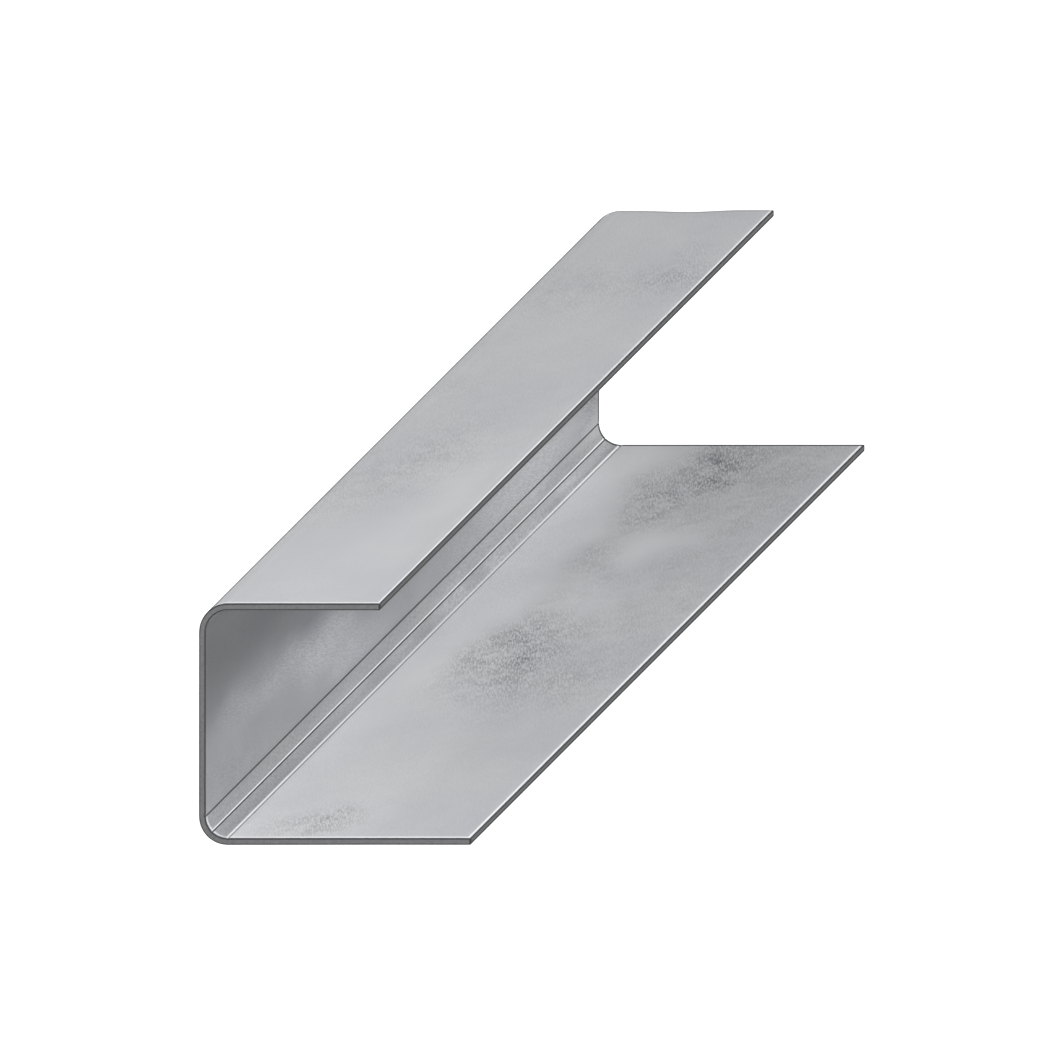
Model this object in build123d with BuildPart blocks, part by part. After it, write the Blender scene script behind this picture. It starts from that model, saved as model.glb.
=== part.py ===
"""A short cut length of steel stud track: a roll-formed channel with one long and one short leg.

The long leg lies on the floor, the web stands at its back edge and the short leg reaches out over it.
+X runs from the web to the tips of the legs, +Y runs along the track and +Z is up.
The origin is the bottom centre of the whole track.
"""

import os

from build123d import *

# The section, in millimetres. The web and both legs are measured over the outside.
web_height = 50.8  # 2 in
long_leg = 57.15  # 2 1/4 in
short_leg = 38.1  # 1 1/2 in
sheet_thickness = 1.438  # 54 mil sheet
bend_radius = 4.65  # on the inside of each bend

# The cut length.
track_length = 152.4  # 6 in

# The last forming rolls leave shallow round furrows along the inside of the long leg's bend: the
# first where the web ends, the last where the leg begins and the others evenly between.
crease_width = 0.5
crease_depth = 0.1
crease_count = 3

# Slitting rounds the long edges at the tips of the legs. The cut ends are only deburred.
slit_edge_radius = 0.3
end_edge_break = 0.12

# Places that follow from the sizes above.
web_outside = -long_leg / 2
long_leg_tip = web_outside + long_leg
short_leg_tip = web_outside + short_leg
outer_bend_radius = bend_radius + sheet_thickness
long_leg_bend_center = (web_outside + outer_bend_radius, outer_bend_radius)

# The round that presses a furrow of this width and depth into the sheet.
crease_radius = (crease_width**2 / 4 + crease_depth**2) / (2 * crease_depth)

with BuildPart() as stud_track:
    # One line round the outside of the section, then the sheet's thickness laid on its inner side.
    with BuildSketch(Plane.XZ) as section:
        with BuildLine():
            FilletPolyline(
                (short_leg_tip, web_height),
                (web_outside, web_height),
                (web_outside, 0),
                (long_leg_tip, 0),
                radius=outer_bend_radius,
            )
            offset(amount=sheet_thickness, side=Side.LEFT)
        make_face()
    extrude(amount=track_length / 2, both=True)

    # The slit edges: four long edges, two at the tip of each leg.
    leg_tips = stud_track.faces().filter_by(Axis.X).sort_by(Axis.X)[-2:]
    fillet(leg_tips.edges().filter_by(Axis.Y), radius=slit_edge_radius)

    # The cut ends, all the way round the section.
    cut_ends = stud_track.faces().filter_by(Axis.Y)
    chamfer(cut_ends.edges(), length=end_edge_break)

    # The creases run the whole length of the long leg's bend, which turns a quarter from the web.
    with BuildSketch(Plane.XZ) as creases:
        with Locations(long_leg_bend_center):
            with PolarLocations(
                radius=bend_radius + crease_depth - crease_radius,
                count=crease_count,
                start_angle=180,
                angular_range=90,
                endpoint=True,
            ):
                Circle(crease_radius)
    extrude(amount=track_length / 2, both=True, mode=Mode.SUBTRACT)

stud_track.part.label = "stud_track"

os.makedirs("parts", exist_ok=True)
export_step(stud_track.part, "parts/stud_track.step")
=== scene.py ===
"""A short cut length of galvanised steel stud track, drawn obliquely on a plain white floor."""

from math import cos, radians, sin, sqrt

import bpy
from mathutils import Matrix, Vector, noise


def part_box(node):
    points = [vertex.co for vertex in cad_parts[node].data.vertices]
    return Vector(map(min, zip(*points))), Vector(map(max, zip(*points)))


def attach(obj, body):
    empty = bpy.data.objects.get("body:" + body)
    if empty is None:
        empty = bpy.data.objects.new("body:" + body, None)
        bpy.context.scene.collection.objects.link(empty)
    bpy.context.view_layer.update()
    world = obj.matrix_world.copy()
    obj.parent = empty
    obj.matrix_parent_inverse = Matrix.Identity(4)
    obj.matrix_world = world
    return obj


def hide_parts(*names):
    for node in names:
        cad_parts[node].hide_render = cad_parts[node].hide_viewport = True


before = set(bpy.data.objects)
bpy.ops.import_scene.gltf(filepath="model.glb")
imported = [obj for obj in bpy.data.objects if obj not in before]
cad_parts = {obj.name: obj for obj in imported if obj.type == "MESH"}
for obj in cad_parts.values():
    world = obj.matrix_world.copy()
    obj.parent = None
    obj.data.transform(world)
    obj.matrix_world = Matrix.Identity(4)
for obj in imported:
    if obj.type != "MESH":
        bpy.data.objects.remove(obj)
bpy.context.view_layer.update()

MM = 0.001

# The section, as it is in the solid. The outside sizes come from the frame.
low_corner, high_corner = (Vector(corner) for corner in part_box("stud_track"))
web_height = high_corner.z - low_corner.z
long_leg = high_corner.x - low_corner.x
track_length = high_corner.y - low_corner.y
short_leg = 38.1 * MM
sheet_thickness = 1.438 * MM
bend_radius = 4.65 * MM
outer_bend_radius = bend_radius + sheet_thickness
crease_width = 0.5 * MM
crease_depth = 0.1 * MM
slit_radius = 0.2 * MM  # of the long edges at the tips of the legs, where the solid has 0.3 mm
end_radius = 0.12 * MM  # of the cut ends

# The strip before it was bent. A run is a distance across it, measured along the middle of the
# sheet from the short leg's edge to the long leg's edge.
bend_run = radians(90) * (bend_radius + sheet_thickness / 2)
high_bend_run = short_leg - outer_bend_radius
web_run = high_bend_run + bend_run
low_bend_run = web_run + web_height - 2 * outer_bend_radius
long_leg_run = low_bend_run + bend_run
strip_width = long_leg_run + long_leg - outer_bend_radius
near_end = low_corner.y
far_end = high_corner.y

# The first crease lies where the web ends, the last where the long leg begins.
crease_runs = [low_bend_run + share * bend_run for share in (0, 0.5, 1)]

# Rows of points next to a cut edge follow its rounding, and the next row lies just inside it.
edge_rows = 3
slit_reach = 1.5 * slit_radius
end_reach = 1.5 * end_radius


def section_place(run):
    """The point of the section's outer line at a run, and the direction into the sheet there."""
    bend_x = low_corner.x + outer_bend_radius
    high_bend = Vector((bend_x, 0, web_height - outer_bend_radius))
    low_bend = Vector((bend_x, 0, outer_bend_radius))
    if run <= high_bend_run:
        return Vector((low_corner.x + short_leg - run, 0, web_height)), Vector((0, 0, -1))
    if run < web_run:
        turn = radians(90) * (run - high_bend_run) / bend_run
        inward = Vector((sin(turn), 0, -cos(turn)))
        return high_bend - inward * outer_bend_radius, inward
    if run <= low_bend_run:
        height = web_height - outer_bend_radius - (run - web_run)
        return Vector((low_corner.x, 0, height)), Vector((1, 0, 0))
    if run < long_leg_run:
        turn = radians(90) * (run - low_bend_run) / bend_run
        inward = Vector((cos(turn), 0, sin(turn)))
        return low_bend - inward * outer_bend_radius, inward
    return Vector((bend_x + run - long_leg_run, 0, 0)), Vector((0, 0, 1))


def section_runs():
    """The runs of the section's points: close at bends, creases and edges, wide on the flats."""
    flat_step, bend_step = 2.4 * MM, bend_run / 16
    stretches = (
        (slit_reach, high_bend_run, flat_step),
        (high_bend_run, web_run, bend_step),
        (web_run, low_bend_run, flat_step),
        (low_bend_run, long_leg_run, bend_step),
        (long_leg_run, strip_width - slit_reach, flat_step),
    )
    runs = [strip_width - slit_reach]
    for start, end, step in stretches:
        count = round((end - start) / step)
        runs += [start + (end - start) * place / count for place in range(count)]
    runs = [run for run in runs if all(abs(run - crease) > crease_width for crease in crease_runs)]
    across_crease = [crease_width * share for share in (-0.8, -0.5, -0.25, 0, 0.25, 0.5, 0.8)]
    runs += [crease + step for crease in crease_runs for step in across_crease]
    rounding = [slit_reach * (row / edge_rows) ** 2 for row in range(edge_rows)]
    runs += rounding + [strip_width - step for step in rounding]
    return sorted(runs)


def add(tree, kind, *values, **settings):
    """Adds a node with its settings.

    Values go to its inputs in order. A node or a socket among them is linked.
    """
    node = tree.nodes.new(kind)
    for name, setting in settings.items():
        setattr(node, name, setting)
    sockets = [socket for socket in node.inputs if socket.enabled]
    for socket, value in zip(sockets, values):
        if isinstance(value, bpy.types.Node):
            value = next(output for output in value.outputs if output.enabled)
        if isinstance(value, bpy.types.NodeSocket):
            tree.links.new(value, socket)
        elif value is not None:
            socket.default_value = value
    return node


def linear(code):
    """An sRGB hex colour as linear red, green, blue and alpha."""
    shares = [int(code[place:place + 2], 16) / 255 for place in (1, 3, 5)]
    return [s / 12.92 if s <= 0.04045 else ((s + 0.055) / 1.055) ** 2.4 for s in shares] + [1]


def new_object(name, data):
    thing = bpy.data.objects.new(name, data)
    bpy.context.collection.objects.link(thing)
    return thing


# Materials

# The zinc's tone across each skin, from the short leg's edge to the long leg's, with painted light
# and shade in it. On the inner skin the web under the short leg is darker, partly as duller zinc and
# partly as painted shade, the inside of the short leg's bend is darkened with painted shade, and the
# long leg beside its bend is lightened with painted light.
inner_tones_and_shade = (
    (high_bend_run, "#A9A9AB"),
    (high_bend_run + bend_run * 0.45, "#6D6D6F"),
    (web_run + 4 * MM, "#6D6D6F"),
    (web_run + 14 * MM, "#737375"),
    (web_run + 20.5 * MM, "#77777A"),
    (web_run + 27 * MM, "#8B8B8D"),
    (low_bend_run - 9 * MM, "#909092"),
    (low_bend_run - 3 * MM, "#9A9A9C"),
    (long_leg_run - 0.6 * MM, "#A9A9AB"),
    (long_leg_run + 0.3 * MM, "#E5E5E5"),
    (long_leg_run + 9 * MM, "#DDDDDD"),
    (long_leg_run + 20 * MM, "#D2D2D3"),
    (long_leg_run + 32 * MM, "#C8C8C9"),
    (strip_width, "#C5C5C7"),
)
outer_tones_and_light = (
    (0.0, "#CECED0"),
    (high_bend_run - 1 * MM, "#CECED0"),
    # The short leg's bend is lighter here: painted light.
    (high_bend_run + bend_run * 0.3, "#DCDCDE"),
    (web_run, "#CECED0"),
    (strip_width, "#CECED0"),
)

# A thin film of oxide lies on the zinc and on the cut steel. It leaves less than half their mirror.
metal_share = 0.45

# Marks on the zinc. Each is a soft patch: its place across and along, half its width and length,
# and its strength. Places across are measured from the web's outside on the legs and up from the
# floor on the web, places along from the near end, all in millimetres.
mark_fade = 1.8  # a mark ends at this many times its half width and half length
wander_reach = 3.5 * MM  # of a mark's outline
wander_spacing = 9 * MM
# The noise starts from the clock unless it is given a seed, and each run has to give the same marks.
wander_seed = 1
long_leg_haze = (
    (48, 66, 15, 14, 0.45),
    (47, 88, 11, 10, 0.4),
    (44, 106, 12, 12, 0.35),
    (45, 138, 17, 22, 0.65),
    (30, 148, 7, 10, 0.35),
)
long_leg_scuffs = (
    (23.5, 6, 5, 4.5, 0.7),
    (14.5, 5.5, 3.5, 4, 0.25),
    (27.5, 72.5, 10.5, 12, 0.68),
    (22, 80, 7, 9, 0.15),
    (35, 60, 9, 10, 0.25),
    (42, 60, 9, 12, 0.15),
    (22, 60, 8, 8, 0.12),
    (24, 88, 6, 6, 0.15),
    (24, 108, 5, 5, 0.45),
    (17, 102, 4, 6, 0.12),
    (31, 98, 8, 7, 0.22),
    (24.5, 127, 8.5, 9, 0.62),
    (18, 137, 5, 6, 0.42),
    (31.5, 141, 6, 10, 0.78),
    (26.5, 150, 5, 6, 0.55),
)
long_leg_rubs = (
    (9, 62, 7, 30, 0.5),
    (11, 106, 7.5, 34, 1.5),
    (12, 142, 6, 16, 0.45),
    (8, 106, 3, 12, 0.4),
    (18, 114, 4, 9, 0.3),
    (24, 91, 9, 6, 0.25),
    (35, 94, 8, 8, 0.3),
    (33, 112, 7, 7, 0.65),
)
short_leg_scuffs = (
    (8, 47, 8, 14, 0.15),
    (20, 57, 9, 14, 0.25),
    (9, 82, 6, 8, 0.1),
    (14, 122, 10, 10, 0.2),
    (31, 128, 6, 8, 0.4),
)
short_leg_rubs = (
    (16, 6, 18, 22, 0.6),
    (30, 40, 8, 22, 0.4),
)
web_haze = (
    (10, 11, 5, 8, 0.3),
    (16, 8, 8, 12, 0.3),
    (10, 76, 5, 8, 0.45),
    (11, 152, 4, 7, 1.7),
)
web_rubs = (
    (15, 10, 7, 12, 0.12),
    (22, 20, 4, 18, 0.25),
    (18.5, 42, 5, 14, 0.42),
    (13, 49, 6, 12, 0.3),
    (9, 62, 4, 12, 0.4),
    (10, 104, 6, 22, 0.35),
    (10.5, 126, 5, 16, 0.5),
    (5, 120, 3, 32, 0.25),
)


def runs_of(marks, run_at):
    """The marks with their place across turned into a run."""
    return [(run_at(across * MM), along, *rest) for across, along, *rest in marks]


def on_long_leg(across):
    return long_leg_run - outer_bend_radius + across


def on_short_leg(across):
    return short_leg - across


def on_web(height):
    return web_run + web_height - outer_bend_radius - height


inner_marks = {
    "haze": runs_of(long_leg_haze, on_long_leg) + runs_of(web_haze, on_web),
    "scuff": runs_of(long_leg_scuffs, on_long_leg),
    "rub": runs_of(long_leg_rubs, on_long_leg) + runs_of(web_rubs, on_web),
}
outer_marks = {
    "haze": [],
    "scuff": runs_of(short_leg_scuffs, on_short_leg),
    "rub": runs_of(short_leg_rubs, on_short_leg),
}


def covered(run, along, marks):
    """How strongly the marks cover a place on the strip. Their outlines wander."""
    wander = noise.noise_vector(Vector((run, along, 0.05)) / wander_spacing) * wander_reach
    cover = 0.0
    for mark_run, mark_along, half_width, half_length, strength in marks:
        across = (run + wander.x - mark_run) / (half_width * MM)
        lengthwise = (along + wander.y - near_end - mark_along * MM) / (half_length * MM)
        left = max(0.0, 1 - sqrt(across**2 + lengthwise**2) / mark_fade)
        cover += strength * left * left * (3 - 2 * left)
    return cover


def stripe(tree, distance, start, end, soft):
    """1 where a distance is between two values and 0 elsewhere, with soft borders."""
    rise = add(
        tree, "ShaderNodeMapRange", distance, start - soft / 2, start + soft / 2, 0.0, 1.0,
        interpolation_type="SMOOTHSTEP",
    )
    fall = add(
        tree, "ShaderNodeMapRange", distance, end - soft / 2, end + soft / 2, 1.0, 0.0,
        interpolation_type="SMOOTHSTEP",
    )
    return add(tree, "ShaderNodeMath", rise, fall, operation="MULTIPLY")


def tones_across(tree, run, tones):
    """The colour at each run, blended from one named tone to the next."""
    share = add(tree, "ShaderNodeMapRange", run, 0.0, strip_width, 0.0, 1.0)
    ramp = add(tree, "ShaderNodeValToRGB", share)
    stops = ramp.color_ramp.elements
    while len(stops) < len(tones):
        stops.new(0.5)
    for stop, (place, code) in zip(stops, tones):
        stop.position = place / strip_width
        stop.color = linear(code)
    return ramp


def new_material(name):
    """A material with its node tree and its shader."""
    material = bpy.data.materials.new(name)
    material.use_nodes = True
    return material, material.node_tree, material.node_tree.nodes["Principled BSDF"]


def galvanised_sheet():
    """Galvanised sheet steel: cold rolled, hot dipped, then roll-formed and handled.

    The eye gets a dull light grey with slow clouds in it and a fine slanting grain, scuffed darker
    in patches. Painted shade darkens the creases, the cut edges and the middle of the outer bends,
    and painted highlights run beside the creases and along the cut edges.
    """
    material, tree, shader = new_material("galvanised_sheet_steel")
    place = add(tree, "ShaderNodeSeparateXYZ", add(tree, "ShaderNodeUVMap", uv_map="strip"))
    run, along = place.outputs["X"], place.outputs["Y"]
    inside = add(tree, "ShaderNodeAttribute", attribute_name="skin").outputs["Fac"]
    outside = add(tree, "ShaderNodeMath", 1.0, inside, operation="SUBTRACT")

    # The patterns slant away from the low bend on both sides of it. Each skin and each side of
    # that bend has its own layer of them.
    layer_spacing = 50 * MM
    past_bend = add(
        tree, "ShaderNodeMath", run, (low_bend_run + long_leg_run) / 2, operation="SUBTRACT"
    )
    fold = add(tree, "ShaderNodeMath", past_bend, operation="ABSOLUTE")
    side = add(tree, "ShaderNodeMath", past_bend, operation="SIGN")
    layer = add(tree, "ShaderNodeMath", inside, 3.0, side, operation="MULTIPLY_ADD")
    layer = add(tree, "ShaderNodeMath", layer, layer_spacing, operation="MULTIPLY")
    pattern = add(tree, "ShaderNodeCombineXYZ", fold, along, layer)

    # The dip leaves clouds in the zinc's tone, some 20 mm across, between warmer and cooler grey.
    # A painted falloff of light makes the zinc a little darker towards the far end.
    cloud = add(tree, "ShaderNodeTexNoise", pattern, 1 / (20 * MM), 3.0, 0.55)
    tone = add(
        tree, "ShaderNodeMix", inside, tones_across(tree, run, outer_tones_and_light),
        tones_across(tree, run, inner_tones_and_shade), data_type="RGBA",
    )
    tint = add(tree, "ShaderNodeMapRange", cloud, 0.35, 0.65, 0.0, 1.0)
    tint = add(tree, "ShaderNodeMix", tint, linear("#FEFFFF"), linear("#FBFCFF"), data_type="RGBA")
    tone = add(tree, "ShaderNodeVectorMath", tone, tint, operation="MULTIPLY")
    clouding = add(tree, "ShaderNodeMapRange", cloud, 0.3, 0.7, 1.025, 0.975)
    fading = add(tree, "ShaderNodeMapRange", along, near_end, far_end, 1.05, 0.96)
    clouding = add(tree, "ShaderNodeMath", clouding, fading, operation="MULTIPLY")

    # Wiping grain: fine marks 0.3 mm wide, drawn out to four times that along the slant.
    turned = add(
        tree, "ShaderNodeMapping", pattern, (0, 0, 0), (0, 0, radians(118.5)),
        (1.2 * MM, 0.3 * MM, 1 * MM), vector_type="TEXTURE",
    )
    grain = add(tree, "ShaderNodeTexNoise", turned, 1.0, 2.0, 0.6, 2.0, 0.5)
    grain = add(tree, "ShaderNodeMapRange", grain, 0.3, 0.7, 0.0, 1.0)
    patchy = add(tree, "ShaderNodeTexNoise", pattern, 1 / (3 * MM), 2.0, 0.6)
    patchy = add(tree, "ShaderNodeMapRange", patchy, 0.3, 0.7, 0.0, 1.0)
    mottle = add(tree, "ShaderNodeMix", 0.2, grain, patchy)
    fleck = add(tree, "ShaderNodeMapRange", mottle, 0.0, 1.0, 1.055, 0.945)
    clouding = add(tree, "ShaderNodeMath", clouding, fleck, operation="MULTIPLY")

    # The rolls leave fine ticks 0.25 mm wide across the inside of the low bend.
    ticks = add(
        tree, "ShaderNodeMapping", pattern, (0, 0, 0), (0, 0, 0), (0.9 * MM, 0.25 * MM, 1 * MM),
        vector_type="TEXTURE",
    )
    ticks = add(tree, "ShaderNodeTexNoise", ticks, 1.0, 1.0, 0.5)
    ticks = add(tree, "ShaderNodeMapRange", ticks, 0.3, 0.7, 0.17, -0.17)
    rolled = stripe(tree, run, low_bend_run, long_leg_run, 0.4 * MM)
    rolled = add(tree, "ShaderNodeMath", rolled, inside, operation="MULTIPLY")
    ticks = add(tree, "ShaderNodeMath", ticks, rolled, 1.0, operation="MULTIPLY_ADD")
    clouding = add(tree, "ShaderNodeMath", clouding, ticks, operation="MULTIPLY")
    tone = add(tree, "ShaderNodeVectorMath", tone, clouding, operation="SCALE")

    # Haze dulls the zinc softly, scuffs darken its grain and rubs brighten it. Haze and scuffs are
    # heavier in some spots than in others, about 6 mm apart.
    blotch = add(tree, "ShaderNodeTexNoise", pattern, 1 / (6 * MM), 2.0, 0.6)
    blotch = add(tree, "ShaderNodeMapRange", blotch, 0.35, 0.65, 0.65, 1.35)
    haze, scuff, rub = (
        add(tree, "ShaderNodeAttribute", attribute_name=name).outputs["Fac"] for name in inner_marks
    )
    hazing = add(tree, "ShaderNodeMapRange", mottle, 0.2, 0.8, 0.0, 0.5)
    hazing = add(tree, "ShaderNodeMath", hazing, haze, operation="MULTIPLY")
    hazing = add(tree, "ShaderNodeMath", hazing, blotch, operation="MULTIPLY")
    tone = add(tree, "ShaderNodeMix", hazing, tone, linear("#6F7176"), data_type="RGBA")
    scuffing = add(tree, "ShaderNodeMapRange", mottle, 0.3, 0.7, 0.02, 0.88)
    scuffing = add(tree, "ShaderNodeMath", scuffing, scuff, operation="MULTIPLY")
    scuffing = add(tree, "ShaderNodeMath", scuffing, blotch, operation="MULTIPLY")
    tone = add(tree, "ShaderNodeMix", scuffing, tone, linear("#6D6F71"), data_type="RGBA")
    rubbing = add(tree, "ShaderNodeMapRange", mottle, 0.3, 0.7, 0.28, 0.62)
    rubbing = add(tree, "ShaderNodeMath", rubbing, rub, operation="MULTIPLY")
    tone = add(tree, "ShaderNodeMix", rubbing, tone, linear("#F0F1F4"), data_type="RGBA")

    # Painted shade darkens the creases. The middle one and the last have a painted highlight on the
    # web's side.
    bright, dark = 0.0, 0.0
    for crease in crease_runs:
        off = add(tree, "ShaderNodeMath", run, crease, operation="SUBTRACT")
        dark = add(tree, "ShaderNodeMath", stripe(tree, off, -0.04 * MM, 0.25 * MM, 0.1 * MM), dark)
    _, middle_crease, last_crease = crease_runs
    crease_highlights = ((middle_crease, -0.4, -0.04, 0.8), (last_crease, -0.63, -0.08, 1.0))
    for crease, highlight_start, highlight_end, strength in crease_highlights:
        off = add(tree, "ShaderNodeMath", run, crease, operation="SUBTRACT")
        highlight_band = stripe(tree, off, highlight_start * MM, highlight_end * MM, 0.12 * MM)
        bright = add(tree, "ShaderNodeMath", highlight_band, strength, bright, operation="MULTIPLY_ADD")

    # Cut edges: a painted dark line of shade at the corner, with a painted highlight beside it, as
    # on a rounded edge that catches the light. At the near end the inner skin has the painted
    # highlight on the long leg, and fainter in its bend.
    other_edge = add(tree, "ShaderNodeMath", strip_width, run, operation="SUBTRACT")
    from_edge = add(tree, "ShaderNodeMath", run, other_edge, operation="MINIMUM")
    from_near = add(tree, "ShaderNodeMath", along, near_end, operation="SUBTRACT")
    from_far = add(tree, "ShaderNodeMath", far_end, along, operation="SUBTRACT")
    highlight_band = stripe(tree, from_near, 0.2 * MM, 0.65 * MM, 0.15 * MM)
    past_web = add(tree, "ShaderNodeMath", run, low_bend_run, operation="GREATER_THAN")
    on_leg = add(tree, "ShaderNodeMath", run, long_leg_run, operation="GREATER_THAN")
    highlight_share = add(tree, "ShaderNodeMix", on_leg, 0.6, 1.0)
    highlight_share = add(tree, "ShaderNodeMath", highlight_share, past_web, operation="MULTIPLY")
    highlight_band = add(tree, "ShaderNodeMath", highlight_band, highlight_share, operation="MULTIPLY")
    bright = add(tree, "ShaderNodeMath", highlight_band, bright, operation="MAXIMUM")
    bright = add(tree, "ShaderNodeMath", bright, inside, operation="MULTIPLY")
    dark = add(tree, "ShaderNodeMath", dark, inside, operation="MULTIPLY")
    highlight_band = stripe(tree, from_near, 0.2 * MM, 0.6 * MM, 0.15 * MM)
    highlight_band = add(tree, "ShaderNodeMath", highlight_band, outside, operation="MULTIPLY")
    bright = add(tree, "ShaderNodeMath", highlight_band, bright, operation="MAXIMUM")
    for distance, start, end in ((run, 0.25, 0.7), (other_edge, 0.22, 0.85)):
        highlight_band = stripe(tree, distance, start * MM, end * MM, 0.15 * MM)
        bright = add(tree, "ShaderNodeMath", highlight_band, bright, operation="MAXIMUM")
    far_line = stripe(tree, from_far, -1 * MM, 0.55 * MM, 0.1 * MM)
    far_strength = add(tree, "ShaderNodeMapRange", inside, 0.0, 1.0, 0.3, 1.0)
    far_line = add(tree, "ShaderNodeMath", far_line, far_strength, operation="MULTIPLY")
    near_line = stripe(tree, from_near, -1 * MM, 0.14 * MM, 0.1 * MM)
    slit_line = stripe(tree, from_edge, -1 * MM, 0.24 * MM, 0.1 * MM)
    for line in (far_line, near_line, slit_line):
        dark = add(tree, "ShaderNodeMath", line, dark, operation="MAXIMUM")

    # Along the middle of each outer bend, where it turns away, a band of long dull streaks 0.15 mm
    # wide is painted dark as shade, and made rougher. The long leg's bend has it at half strength.
    streaks = add(
        tree, "ShaderNodeMapping", pattern, (0, 0, 0), (0, 0, 0), (0.15 * MM, 120 * MM, 1 * MM),
        vector_type="TEXTURE",
    )
    streaks = add(tree, "ShaderNodeTexNoise", streaks, 1.0, 1.0, 0.5)
    streaks = add(tree, "ShaderNodeMapRange", streaks, 0.35, 0.6, 0.5, 0.85)
    bend_shade = 0.0
    for start, strength in ((high_bend_run, 1.0), (low_bend_run, 0.5)):
        turn_band = stripe(
            tree, run, start + bend_run * 0.32, start + bend_run * 0.53, bend_run * 0.14
        )
        bend_shade = add(tree, "ShaderNodeMath", turn_band, strength, bend_shade, operation="MULTIPLY_ADD")
    bend_shade = add(tree, "ShaderNodeMath", bend_shade, streaks, operation="MULTIPLY")
    bend_shade = add(tree, "ShaderNodeMath", bend_shade, outside, operation="MULTIPLY")
    dark = add(tree, "ShaderNodeMath", bend_shade, dark, operation="MAXIMUM")

    # The painted highlights and the painted shade go over the tone last.
    tone = add(tree, "ShaderNodeMix", bright, tone, linear("#FBFCFE"), data_type="RGBA")
    tone = add(tree, "ShaderNodeMix", dark, tone, linear("#36373A"), data_type="RGBA")
    tree.links.new(tone.outputs["Result"], shader.inputs["Base Color"])

    dulled = add(tree, "ShaderNodeMath", scuffing, hazing, operation="ADD")
    roughness = add(tree, "ShaderNodeMapRange", dulled, 0.0, 0.6, 0.5, 0.68)
    roughness = add(tree, "ShaderNodeMath", bend_shade, 0.4, roughness, operation="MULTIPLY_ADD")
    tree.links.new(roughness.outputs[0], shader.inputs["Roughness"])
    shader.inputs["Metallic"].default_value = metal_share
    bump = add(tree, "ShaderNodeBump", 0.2, 0.02 * MM)
    tree.links.new(grain.outputs[0], bump.inputs["Height"])
    tree.links.new(bump.outputs[0], shader.inputs["Normal"])
    return material


def sheared_edge():
    """Sheared steel: bare metal, torn across its thickness and dull.

    The eye gets a dark grey rim with short coarse tears in it, darker still along its corners,
    where the blades left a burr and painted shade darkens it further, most on the side that faces
    down.
    """
    material, tree, shader = new_material("sheared_steel")
    across = add(tree, "ShaderNodeAttribute", attribute_name="skin").outputs["Fac"]
    back = add(tree, "ShaderNodeMath", 1.0, across, operation="SUBTRACT")

    # An end face runs up to the slit edges, and a slit face up to the ends. The burr is twice as
    # wide there.
    place = add(tree, "ShaderNodeSeparateXYZ", add(tree, "ShaderNodeUVMap", uv_map="strip"))
    run, along = place.outputs["X"], place.outputs["Y"]
    other_edge = add(tree, "ShaderNodeMath", strip_width, run, operation="SUBTRACT")
    from_edge = add(tree, "ShaderNodeMath", run, other_edge, operation="MINIMUM")
    from_middle = add(tree, "ShaderNodeMath", along, operation="ABSOLUTE")
    from_end = add(tree, "ShaderNodeMath", far_end, from_middle, operation="SUBTRACT")
    corner = add(tree, "ShaderNodeMath", from_edge, from_end, operation="MAXIMUM")
    corner = add(tree, "ShaderNodeMath", corner, 0.5, operation="MULTIPLY")

    # A slit face has a wide dark burr on the side that faces down, widened as painted shade, and
    # hardly any on the other.
    face = sheet_thickness - 2 * end_radius
    on_slit = add(tree, "ShaderNodeMath", from_edge, 0.01 * MM, operation="LESS_THAN")
    on_leg = add(tree, "ShaderNodeMath", run, long_leg_run, operation="GREATER_THAN")
    down = add(tree, "ShaderNodeMix", on_leg, back, across)
    up = add(tree, "ShaderNodeMix", on_leg, across, back)
    for distance, slit_share in ((down, 0.4), (up, 2.0)):
        reach = add(tree, "ShaderNodeMapRange", on_slit, 0.0, 1.0, face, slit_share * face)
        from_skin = add(tree, "ShaderNodeMath", distance, reach, operation="MULTIPLY")
        corner = add(tree, "ShaderNodeMath", corner, from_skin, operation="MINIMUM")

    # Torn grain, 0.4 mm across.
    spot = add(tree, "ShaderNodeTexCoord").outputs["Object"]
    tears = add(tree, "ShaderNodeTexNoise", spot, 1 / (0.4 * MM), 2.0, 0.6)
    shade = add(tree, "ShaderNodeMapRange", tears, 0.3, 0.7, 0.0, 1.0)
    tone = add(tree, "ShaderNodeMix", shade, linear("#4A4A4B"), linear("#5E5E60"), data_type="RGBA")
    burr_shade = add(
        tree, "ShaderNodeMapRange", corner, 0.06 * MM, 0.24 * MM, 1.0, 0.0,
        interpolation_type="SMOOTHSTEP",
    )
    tone = add(tree, "ShaderNodeMix", burr_shade, tone, linear("#101011"), data_type="RGBA")
    tree.links.new(tone.outputs["Result"], shader.inputs["Base Color"])
    roughness = add(tree, "ShaderNodeMapRange", tears, 0.3, 0.7, 0.5, 0.75)
    tree.links.new(roughness.outputs[0], shader.inputs["Roughness"])
    shader.inputs["Metallic"].default_value = metal_share
    bump = add(tree, "ShaderNodeBump", 0.4, 0.05 * MM)
    tree.links.new(tears.outputs[0], bump.inputs["Height"])
    tree.links.new(bump.outputs[0], shader.inputs["Normal"])
    return material


# The sheet

sheet_rows = 67  # of points along the track, some 2.5 mm apart
border = 0.4999  # of a unit block, measured from its middle: whatever lies past it is cut
sheet_sizes = {
    "Length": track_length,
    "Thickness": sheet_thickness,
    "End Radius": end_radius,
    "End Reach": end_reach,
    "Slit Radius": slit_radius,
    "Crease Depth": crease_depth,
    "Ripple": 0.08 * MM,
    "Far Dip": 0.66 * MM,
}


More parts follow.
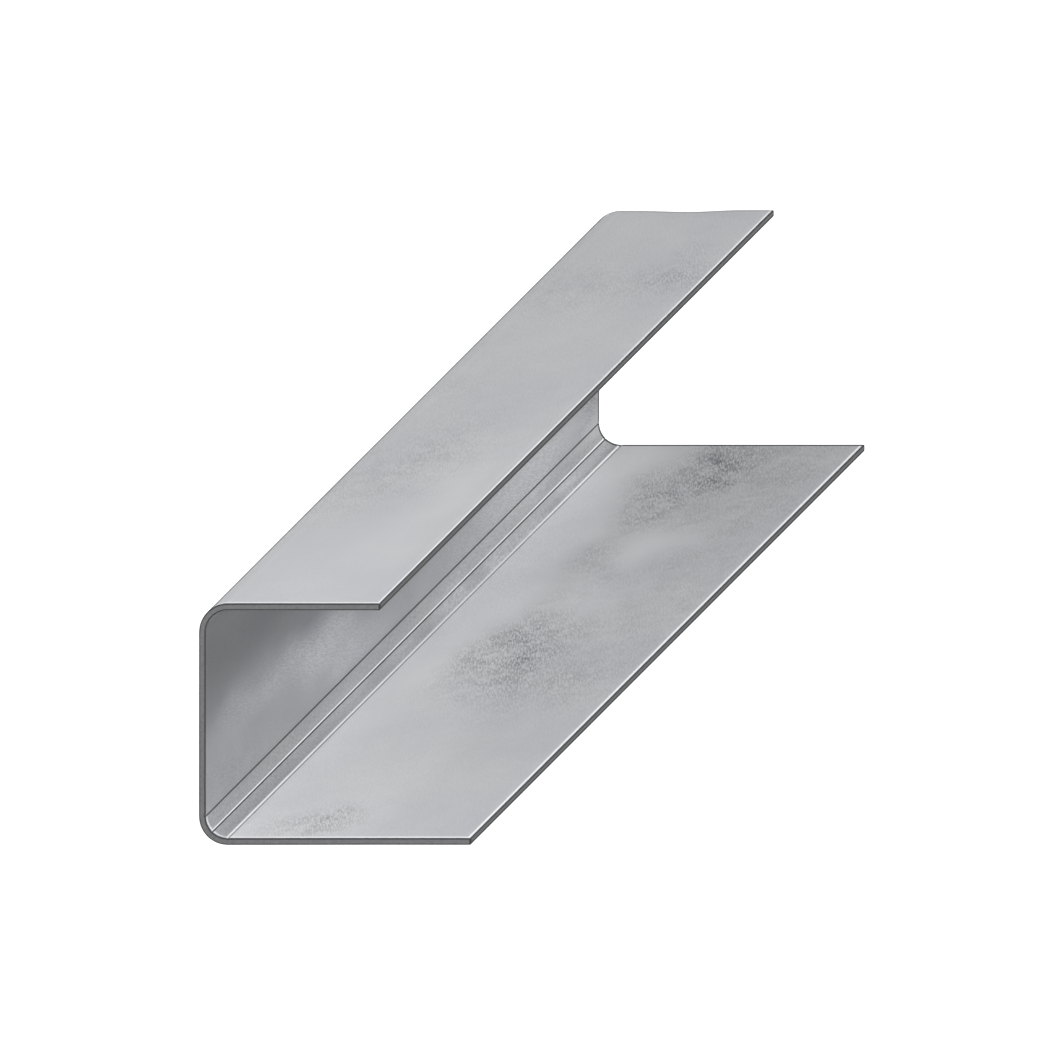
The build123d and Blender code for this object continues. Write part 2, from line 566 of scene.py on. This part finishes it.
def rounding(tree, distance, radius):
    """How far a skin falls away at a distance from a cut edge of this radius."""
    left = add(tree, "ShaderNodeMath", radius, distance, operation="SUBTRACT")
    left = add(tree, "ShaderNodeMath", left, 0.0, operation="MAXIMUM")
    across = add(
        tree, "ShaderNodeMath",
        add(tree, "ShaderNodeMath", radius, radius, operation="MULTIPLY"),
        add(tree, "ShaderNodeMath", left, left, operation="MULTIPLY"),
        operation="SUBTRACT",
    )
    across = add(tree, "ShaderNodeMath", across, operation="SQRT")
    return add(tree, "ShaderNodeMath", radius, across, operation="SUBTRACT")


def far_dip(tree, run, along, depth):
    """How far the cut at the far end runs short.

    It runs short by half the depth on the web's upper half and on half of the short leg, and by
    all of it in a shallow dip in that leg's middle.
    """
    dip_middle, dip_half = on_short_leg(20 * MM), 9.5 * MM
    shoulder_start, shoulder_end, shoulder_soft = on_short_leg(27 * MM), web_run + 18 * MM, 8 * MM
    drawn_in = 8 * MM  # how far back from the end the sheet gives way
    dip = stripe(tree, run, dip_middle - dip_half / 2, dip_middle + dip_half / 2, dip_half)
    shoulder = stripe(tree, run, shoulder_start, shoulder_end, shoulder_soft)
    across = add(tree, "ShaderNodeMath", dip, 0.5, operation="MULTIPLY")
    across = add(tree, "ShaderNodeMath", shoulder, 0.5, across, operation="MULTIPLY_ADD")
    near = add(
        tree, "ShaderNodeMapRange", along, far_end - drawn_in, far_end, 0.0, 1.0,
        interpolation_type="SMOOTHSTEP",
    )
    across = add(tree, "ShaderNodeMath", across, near, operation="MULTIPLY")
    return add(tree, "ShaderNodeMath", across, depth, operation="MULTIPLY")


def sheet_tree(skin, edge):
    """Geometry Nodes that wrap a flat block round the section, with its cut edges rounded."""
    tree = bpy.data.node_groups.new("rolled_sheet", "GeometryNodeTree")
    tree.is_modifier = True
    tree.interface.new_socket("Section", in_out="INPUT", socket_type="NodeSocketGeometry")
    for name in sheet_sizes:
        tree.interface.new_socket(name, in_out="INPUT", socket_type="NodeSocketFloat")
    tree.interface.new_socket("Rows", in_out="INPUT", socket_type="NodeSocketInt")
    tree.interface.new_socket("Sheet", in_out="OUTPUT", socket_type="NodeSocketGeometry")
    given = add(tree, "NodeGroupInput").outputs

    # A flat block of unit size: across in columns, along in rows and one face thick.
    columns = add(tree, "GeometryNodeAttributeDomainSize", given["Section"]).outputs["Point Count"]
    block = add(tree, "GeometryNodeMeshCube", (1, 1, 1), columns, given["Rows"], 2)
    spot = add(tree, "GeometryNodeInputPosition")
    share = add(tree, "ShaderNodeVectorMath", spot, (0.5, 0.5, 0.5))
    share = add(tree, "ShaderNodeSeparateXYZ", share)

    # Each column takes its place from one point of the section.
    column = add(
        tree, "ShaderNodeMath", share.outputs["X"],
        add(tree, "ShaderNodeMath", columns, 1.0, operation="SUBTRACT"), operation="MULTIPLY",
    )
    column = add(tree, "ShaderNodeMath", column, operation="ROUND")
    kinds = {
        "position": "FLOAT_VECTOR",
        "inward": "FLOAT_VECTOR",
        "run": "FLOAT",
        "furrow": "FLOAT",
    }
    taken = {}
    for name, kind in kinds.items():
        value = add(tree, "GeometryNodeInputNamedAttribute", name, data_type=kind)
        taken[name] = add(
            tree, "GeometryNodeSampleIndex", given["Section"], value, column, data_type=kind
        )

    # Rows lie evenly, apart from those that follow the rounding of the two ends.
    last_row = add(tree, "ShaderNodeMath", given["Rows"], 1.0, operation="SUBTRACT")
    row = add(tree, "ShaderNodeMath", share.outputs["Y"], last_row, operation="MULTIPLY")
    row = add(tree, "ShaderNodeMath", row, operation="ROUND")
    row_back = add(tree, "ShaderNodeMath", last_row, row, operation="SUBTRACT")
    row = add(tree, "ShaderNodeMath", row, row_back, operation="MINIMUM")
    even_rows = add(tree, "ShaderNodeMath", last_row, 0.5, -edge_rows, operation="MULTIPLY_ADD")
    half = add(tree, "ShaderNodeMath", given["Length"], 0.5, operation="MULTIPLY")
    even_length = add(tree, "ShaderNodeMath", half, given["End Reach"], operation="SUBTRACT")
    spacing = add(tree, "ShaderNodeMath", even_length, even_rows, operation="DIVIDE")
    edge_share = add(tree, "ShaderNodeMath", row, 1 / edge_rows, operation="MULTIPLY")
    edge_share = add(tree, "ShaderNodeMath", edge_share, 1.0, operation="MINIMUM")
    edge_share = add(tree, "ShaderNodeMath", edge_share, 2.0, operation="POWER")
    evenly = add(tree, "ShaderNodeMath", row, edge_rows, operation="SUBTRACT")
    evenly = add(tree, "ShaderNodeMath", evenly, 0.0, operation="MAXIMUM")
    evenly = add(tree, "ShaderNodeMath", evenly, spacing, operation="MULTIPLY")
    from_end = add(
        tree, "ShaderNodeMath", edge_share, given["End Reach"], evenly, operation="MULTIPLY_ADD"
    )
    side = add(tree, "ShaderNodeMath", share.outputs["Y"], 0.5, operation="SUBTRACT")
    side = add(tree, "ShaderNodeMath", side, operation="SIGN")
    along = add(
        tree, "ShaderNodeMath", side,
        add(tree, "ShaderNodeMath", half, from_end, operation="SUBTRACT"), operation="MULTIPLY",
    )

    # Into the sheet: both skins round off towards the cut edges, and the inner one has the furrows.
    other_edge = add(tree, "ShaderNodeMath", strip_width, taken["run"], operation="SUBTRACT")
    from_slit = add(tree, "ShaderNodeMath", taken["run"], other_edge, operation="MINIMUM")
    fall = add(
        tree, "ShaderNodeMath", rounding(tree, from_end, given["End Radius"]),
        rounding(tree, from_slit, given["Slit Radius"]), operation="ADD",
    )
    furrow = add(
        tree, "ShaderNodeMath", taken["furrow"], given["Crease Depth"], operation="MULTIPLY"
    )
    inner = add(tree, "ShaderNodeMath", given["Thickness"], fall, operation="SUBTRACT")
    inner = add(tree, "ShaderNodeMath", inner, furrow, operation="SUBTRACT")
    depth = add(tree, "ShaderNodeMix", share.outputs["Z"], fall, inner)

    # The cut at the far end, and a slow ripple, as thin sheet has off the rolls. The ripple only
    # leads inwards.
    shifted = add(
        tree, "ShaderNodeMath", along, far_dip(tree, taken["run"], along, given["Far Dip"]),
        operation="SUBTRACT",
    )
    placed = add(
        tree, "ShaderNodeVectorMath", taken["position"],
        add(tree, "ShaderNodeCombineXYZ", 0.0, shifted, 0.0),
    )
    wave = add(tree, "ShaderNodeTexNoise", placed, 1 / (35 * MM), 1.0)
    ripple = add(tree, "ShaderNodeMath", wave, given["Ripple"], depth, operation="MULTIPLY_ADD")
    placed = add(
        tree, "ShaderNodeVectorMath", placed,
        add(tree, "ShaderNodeVectorMath", taken["inward"], ripple, operation="SCALE"),
    )

    # The two skins keep their zinc, and the faces round the block's border are cut.
    uncut = add(
        tree, "ShaderNodeMath",
        add(tree, "ShaderNodeMath", share.outputs["X"], 0.5, border, operation="COMPARE"),
        add(tree, "ShaderNodeMath", share.outputs["Y"], 0.5, border, operation="COMPARE"),
        operation="MULTIPLY",
    )
    skins = add(tree, "ShaderNodeMath", uncut, 0.5, operation="GREATER_THAN")
    sheet = block.outputs["Mesh"]
    sheet = add(
        tree, "GeometryNodeStoreNamedAttribute", sheet, None, "zinc", skins,
        data_type="FLOAT", domain="FACE",
    )
    sheet = add(
        tree, "GeometryNodeStoreNamedAttribute", sheet, None, "skin", share.outputs["Z"],
        data_type="FLOAT", domain="POINT",
    )
    sheet = add(
        tree, "GeometryNodeStoreNamedAttribute", sheet, None, "strip",
        add(tree, "ShaderNodeCombineXYZ", taken["run"], along, 0.0),
        data_type="FLOAT2", domain="CORNER",
    )
    sheet = add(tree, "GeometryNodeSetPosition", sheet, None, placed)
    zinc = add(tree, "GeometryNodeInputNamedAttribute", "zinc", data_type="FLOAT")
    sheet = add(tree, "GeometryNodeSetShadeSmooth", sheet, None, zinc)
    sheet = add(tree, "GeometryNodeRealizeInstances", sheet)
    sheet = add(tree, "GeometryNodeSetMaterial", sheet, None, edge)
    sheet = add(tree, "GeometryNodeSetMaterial", sheet, zinc, skin)
    add(tree, "NodeGroupOutput", sheet)
    return tree


def section_points():
    """The section's outer line as loose points, each with what the sheet needs to know there."""
    runs = section_runs()
    places = [section_place(run) for run in runs]
    mesh = bpy.data.meshes.new("section")
    mesh.from_pydata([point for point, _ in places], [], [])
    values = {"run": mesh.attributes.new("run", "FLOAT", "POINT")}
    values["furrow"] = mesh.attributes.new("furrow", "FLOAT", "POINT")
    values["inward"] = mesh.attributes.new("inward", "FLOAT_VECTOR", "POINT")
    for index, (run, (_, inward)) in enumerate(zip(runs, places)):
        nearest = min(abs(run - crease) for crease in crease_runs)
        values["run"].data[index].value = run
        values["furrow"].data[index].value = max(0, 1 - (2 * nearest / crease_width) ** 2)
        values["inward"].data[index].vector = inward
    return mesh


def mark(mesh):
    """Stores on each point how strongly the haze, scuffs and rubs cover it."""
    noise.seed_set(wander_seed)
    places = {}
    for corner, spot in zip(mesh.loops, mesh.attributes["strip"].data):
        places[corner.vertex_index] = spot.vector
    skin = [point.value for point in mesh.attributes["skin"].data]
    for kind in inner_marks:
        cover = mesh.attributes.new(kind, "FLOAT", "POINT")
        for index, (run, along) in places.items():
            marks = (inner_marks if skin[index] > 0.5 else outer_marks)[kind]
            cover.data[index].value = covered(run, along, marks)


def make_sheet():
    """The whole track: one sheet, from a node tree on the section's points, as a plain mesh."""
    tree = sheet_tree(galvanised_sheet(), sheared_edge())
    maker = new_object("section", section_points())
    modifier = maker.modifiers.new("rolled_sheet", "NODES")
    modifier.node_group = tree
    for socket in tree.interface.items_tree:
        if socket.name in sheet_sizes:
            modifier[socket.identifier] = sheet_sizes[socket.name]
        if socket.name == "Rows":
            modifier[socket.identifier] = sheet_rows
    seen = maker.evaluated_get(bpy.context.evaluated_depsgraph_get())
    mesh = bpy.data.meshes.new_from_object(seen)
    bpy.data.objects.remove(maker)
    mark(mesh)
    sheet = new_object("rolled_sheet", mesh)
    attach(sheet, "root")
    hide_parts("stud_track")


# The studio

# Each soft box: its place, its width across and its power.
soft_boxes = (
    ("front_box", (0.0, -1.4, 0.5), 0.8, 25.0),
    ("right_box", (0.9, 0.0, 0.52), 0.25, 6.1),
    ("right_back_box", (0.61, 0.61, 1.23), 1.0, 10.6),
    ("left_high_box", (-0.6, -0.6, 1.25), 0.8, 4.0),
)
tent_glow = 0.12
table_glow = 1.02
floor_side = 12.0


def floor_material():
    """Opal acrylic, lit from below as on a light table: white, with hardly a shadow."""
    material, _, shader = new_material("opal_acrylic")
    shader.inputs["Base Color"].default_value = linear("#959595")
    shader.inputs["Roughness"].default_value = 0.9
    shader.inputs["Emission Color"].default_value = linear("#FFFFFF")
    shader.inputs["Emission Strength"].default_value = table_glow
    return material


def make_floor():
    half = floor_side / 2
    corners = [(-half, -half, 0), (half, -half, 0), (half, half, 0), (-half, half, 0)]
    mesh = bpy.data.meshes.new("floor")
    mesh.from_pydata(corners, [], [(0, 1, 2, 3)])
    mesh.materials.append(floor_material())
    floor = new_object("floor", mesh)


def make_lights():
    """A dim white tent over the light table, with four soft boxes.

    Below the floor's level the world glows as the table does, which hides the table's border.
    """
    world = bpy.data.worlds.new("studio")
    world.use_nodes = True
    tree = world.node_tree
    background = tree.nodes["Background"]
    background.inputs["Color"].default_value = linear("#FFFFFF")
    toward = add(tree, "ShaderNodeTexCoord").outputs["Generated"]
    height = add(tree, "ShaderNodeSeparateXYZ", toward).outputs["Z"]
    below = add(tree, "ShaderNodeMath", height, 0.0, operation="LESS_THAN")
    glow = add(tree, "ShaderNodeMapRange", below, 0.0, 1.0, tent_glow, table_glow)
    tree.links.new(glow.outputs[0], background.inputs["Strength"])
    bpy.context.scene.world = world
    bpy.context.scene.view_settings.view_transform = "Standard"
    for name, place, size, watts in soft_boxes:
        light = bpy.data.lights.new(name, "AREA")
        light.shape = "DISK"
        light.size = size
        light.energy = watts
        box = new_object(name, light)
        box.location = place
        box.rotation_euler = (-Vector(place)).to_track_quat("-Z", "Y").to_euler()


def make_camera():
    """An oblique view: the near end has its true shape and the length recedes at 45 degrees.

    The camera looks straight along the track, and a shear of its parent's inverse slants its rays.
    """
    # The near end in the picture, in pixels: its left and bottom borders and its height. The far
    # end is drawn as far to the right of it as above it.
    picture, left, bottom, height, to_far_end = 1058, 198.6, 845.3, 241.9, 393.8
    in_front = 0.5  # metres from the near end to the camera
    pixel = web_height / height
    drawn_depth = to_far_end * pixel / track_length
    data = bpy.data.cameras.new("camera")
    data.type = "ORTHO"
    data.ortho_scale = picture * pixel
    camera = new_object("camera", data)
    holder = new_object("camera_holder", None)
    middle = Vector((low_corner.x, near_end, 0))
    middle += Vector((picture / 2 - left, 0, bottom - picture / 2)) * pixel
    slant = Matrix.Identity(4)
    slant[0][1] = slant[2][1] = -drawn_depth
    to_near_end = Matrix.Translation((0, near_end, 0))
    camera.parent = holder
    camera.matrix_parent_inverse = to_near_end @ slant @ to_near_end.inverted()
    stand = Matrix.Translation(middle - Vector((0, in_front, 0)))
    camera.matrix_basis = stand @ Matrix.Rotation(radians(90), 4, "X")
    bpy.context.scene.camera = camera


make_sheet()
make_floor()
make_lights()
make_camera()
